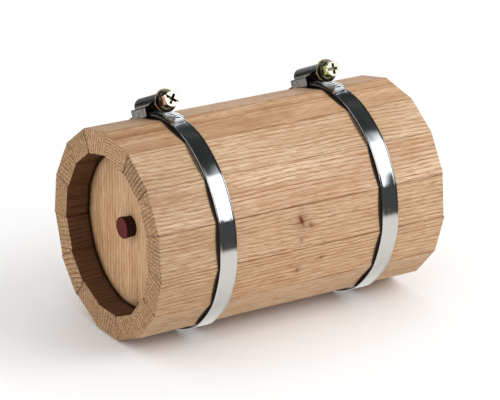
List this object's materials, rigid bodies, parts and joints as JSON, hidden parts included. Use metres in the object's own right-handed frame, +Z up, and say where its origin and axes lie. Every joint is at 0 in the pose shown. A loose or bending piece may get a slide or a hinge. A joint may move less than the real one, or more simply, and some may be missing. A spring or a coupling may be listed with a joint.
{
  "type": "beer keg",
  "caption": "Small oak stave keg lying on its side, with worm-drive clamp hoops, recessed heads and a rubber stopper in the front head.",
  "frame": {"origin": "under the middle of the keg, on the surface its hoops rest on", "axes": "+X along the keg's axis from the stopper end to the rear end, +Z up, the clamp screws' heads towards -Y"},
  "size_m": [0.156, 0.1012, 0.113],
  "materials": {
    "stave_oak": "sanded bare oak",
    "head_oak": "sanded bare oak",
    "stopper_rubber": "matt moulded rubber",
    "hoop_steel": "bright rolled stainless strip",
    "housing_steel": "pressed bright steel",
    "screw_plating": "yellow zinc plated steel"
  },
  "bodies": {
    "keg": {"stave_01": "stave_oak", "stave_02": "stave_oak", "stave_03": "stave_oak", "stave_04": "stave_oak", "stave_05": "stave_oak", "stave_06": "stave_oak", "stave_07": "stave_oak", "stave_08": "stave_oak", "stave_09": "stave_oak", "stave_10": "stave_oak", "stave_11": "stave_oak", "stave_12": "stave_oak", "stave_13": "stave_oak", "stave_14": "stave_oak", "stave_15": "stave_oak", "front_head": "head_oak", "rear_head": "head_oak", "front_hoop_band": "hoop_steel", "front_hoop_housing": "housing_steel", "rear_hoop_band": "hoop_steel", "rear_hoop_housing": "housing_steel"},
    "stopper": {"stopper": "stopper_rubber"},
    "front_screw": {"front_hoop_screw": "screw_plating"},
    "front_tail": {"front_hoop_tail": "hoop_steel"},
    "rear_screw": {"rear_hoop_screw": "screw_plating"},
    "rear_tail": {"rear_hoop_tail": "hoop_steel"}
  },
  "joints": [
    {"name": "stopper_pull", "type": "slide", "parent": "keg", "child": "stopper", "axis": [-1, 0, 0], "range_m": [0, 0.035]},
    {"name": "front_screw_turn", "type": "hinge", "parent": "keg", "child": "front_screw", "pos_m": [-0.0433, 0.02177, 0.09976], "axis": [0, -0.9171, 0.3987], "range_deg": [0, 1656]},
    {"name": "front_tail_run", "type": "hinge", "parent": "keg", "child": "front_tail", "pos_m": [-0.0433, 0, 0.04969], "axis": [-1, 0, 0], "range_deg": [0, 12.4]},
    {"name": "rear_screw_turn", "type": "hinge", "parent": "keg", "child": "rear_screw", "pos_m": [0.0456, 0.02177, 0.09976], "axis": [0, -0.9171, 0.3987], "range_deg": [0, 1656]},
    {"name": "rear_tail_run", "type": "hinge", "parent": "keg", "child": "rear_tail", "pos_m": [0.0456, 0, 0.04969], "axis": [-1, 0, 0], "range_deg": [0, 12.4]}
  ],
  "couplings": [
    {"joint": "front_tail_run", "follows": "front_screw_turn", "ratio": 0.0074553},
    {"joint": "rear_tail_run", "follows": "rear_screw_turn", "ratio": 0.0074553}
  ]
}
